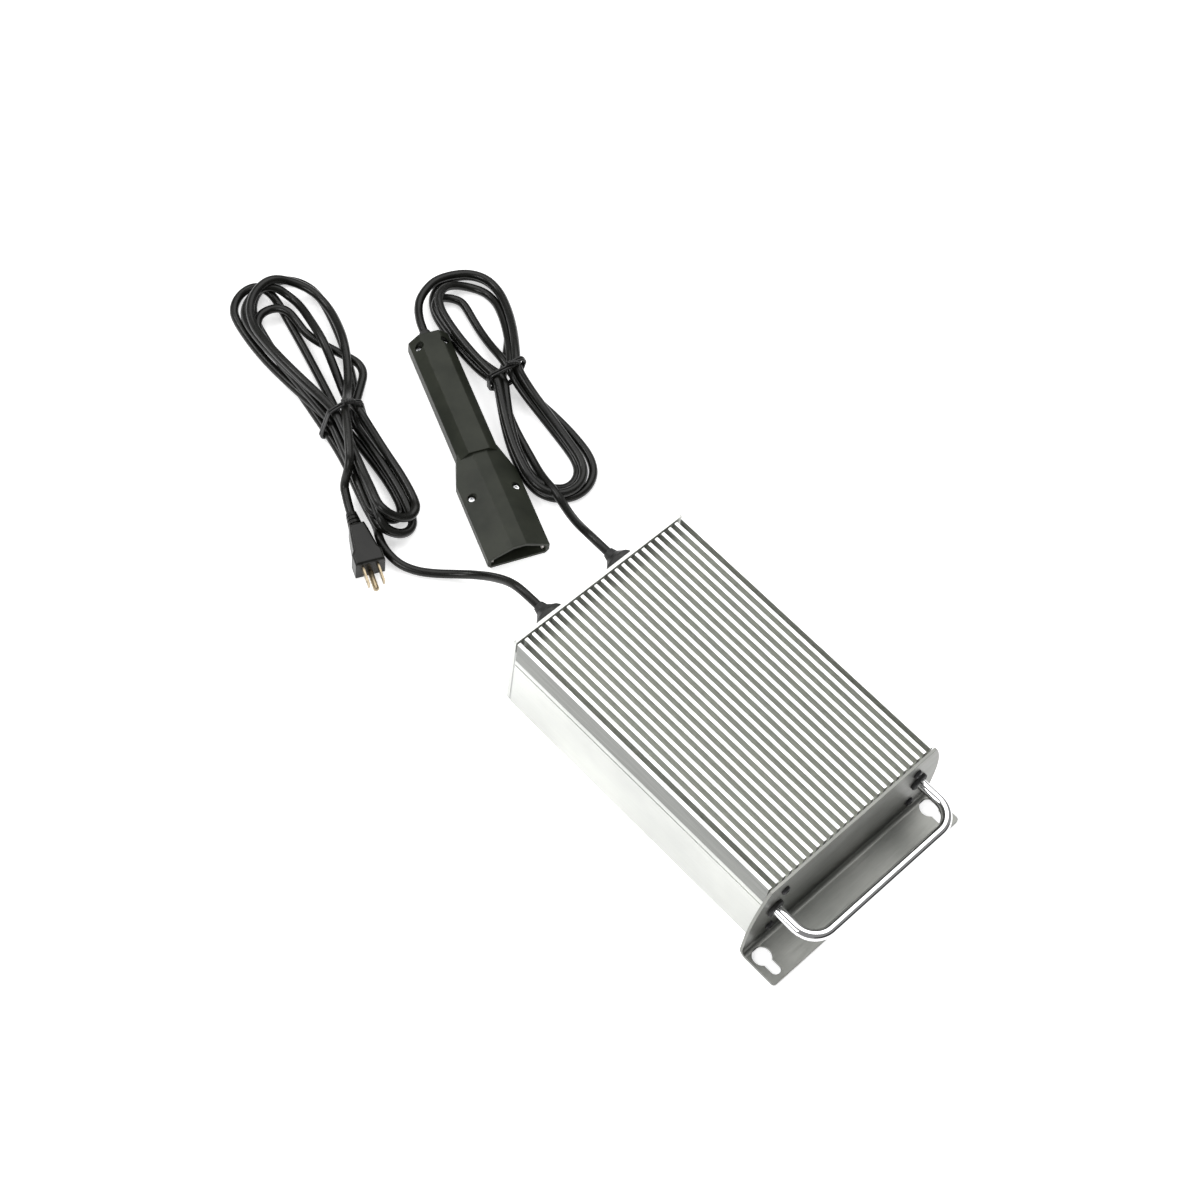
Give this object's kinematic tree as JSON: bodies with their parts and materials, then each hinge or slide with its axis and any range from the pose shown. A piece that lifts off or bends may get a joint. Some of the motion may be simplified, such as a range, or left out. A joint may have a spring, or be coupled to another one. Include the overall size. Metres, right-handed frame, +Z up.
{
  "type": "battery charger",
  "caption": "Sealed fan-less battery charger: finned aluminium case, bent keyhole bracket, fixed U handle, tied mains lead with plug, tied output lead with a two-pole connector.",
  "frame": {"origin": "on the floor, under the middle of the charger without its leads", "axes": "+Z up from the floor, +Y from the carry handle to the cable glands, +X across the fins"},
  "size_m": [0.2922, 0.7635, 0.09],
  "materials": {
    "black_nylon": "fine texture",
    "black_rubber": "matt",
    "black_steel": "black oxide",
    "board_green": "solder resist",
    "bracket_metal": "satin",
    "brass": "turned",
    "component_black": "moulded",
    "connector_plastic": "moulded",
    "contact_silver": "plated",
    "copper_wire": "enamelled",
    "cord_rubber": "slightly glossy",
    "ferrite": "sintered",
    "fin_aluminium": "bright extruded",
    "fuse_glass": "clear",
    "green_lens": "translucent",
    "grey_silicone": "soft",
    "handle_chrome": "polished",
    "plug_brass": "dull",
    "plug_rubber": "slightly glossy",
    "terminal_green": "moulded",
    "tray_aluminium": "satin",
    "winding_tape": "tape",
    "zinc_steel": "zinc plated"
  },
  "bodies": {
    "root": {"ac_cord": "cord_rubber", "ac_cord_hank": "cord_rubber", "ac_gland_body": "black_nylon", "ac_gland_dome_nut": "black_nylon", "ac_gland_locknut": "black_nylon", "ac_gland_seal": "black_rubber", "ac_gland_washer": "black_rubber", "ac_hank_tie": "black_nylon", "ac_inner_cable": "cord_rubber", "ac_plug_blades": "plug_brass", "ac_plug_body": "plug_rubber", "ac_plug_ground_pin": "plug_brass", "ac_terminal_block": "terminal_green", "base_tray": "tray_aluminium", "board_screws": "zinc_steel", "board_standoffs": "brass", "bracket_screws": "black_steel", "bridge_rectifier": "component_black", "bulk_capacitors": "component_black", "carry_handle": "handle_chrome", "clamp_screws": "zinc_steel", "cover_seals": "grey_silicone", "dc_connector_lower_shell": "connector_plastic", "dc_connector_screws": "zinc_steel", "dc_connector_upper_shell": "connector_plastic", "dc_contact_carrier": "component_black", "dc_contacts": "contact_silver", "dc_cord": "cord_rubber", "dc_cord_grommet": "black_rubber", "dc_cord_loops": "cord_rubber", "dc_cord_tail": "cord_rubber", "dc_gland_body": "black_nylon", "dc_gland_dome_nut": "black_nylon", "dc_gland_locknut": "black_nylon", "dc_gland_seal": "black_rubber", "dc_gland_washer": "black_rubber", "dc_inner_cable": "cord_rubber", "dc_loops_tie": "black_nylon", "dc_terminal_block": "terminal_green", "front_bracket": "bracket_metal", "front_gasket": "grey_silicone", "handle_nuts": "zinc_steel", "handle_washers": "black_rubber", "heat_spreader": "tray_aluminium", "heatsink_cover": "fin_aluminium", "input_fuse": "fuse_glass", "main_circuit_board": "board_green", "output_capacitors": "component_black", "output_relay": "component_black", "pfc_inductor_core": "ferrite", "pfc_inductor_winding": "copper_wire", "power_transistors": "component_black", "rear_gasket": "grey_silicone", "rear_panel": "tray_aluminium", "rear_panel_screws": "black_steel", "status_lens": "green_lens", "thermal_pad": "grey_silicone", "transformer_core": "ferrite", "transformer_winding": "winding_tape", "transistor_clamp_bar": "zinc_steel"}
  },
  "joints": []
}
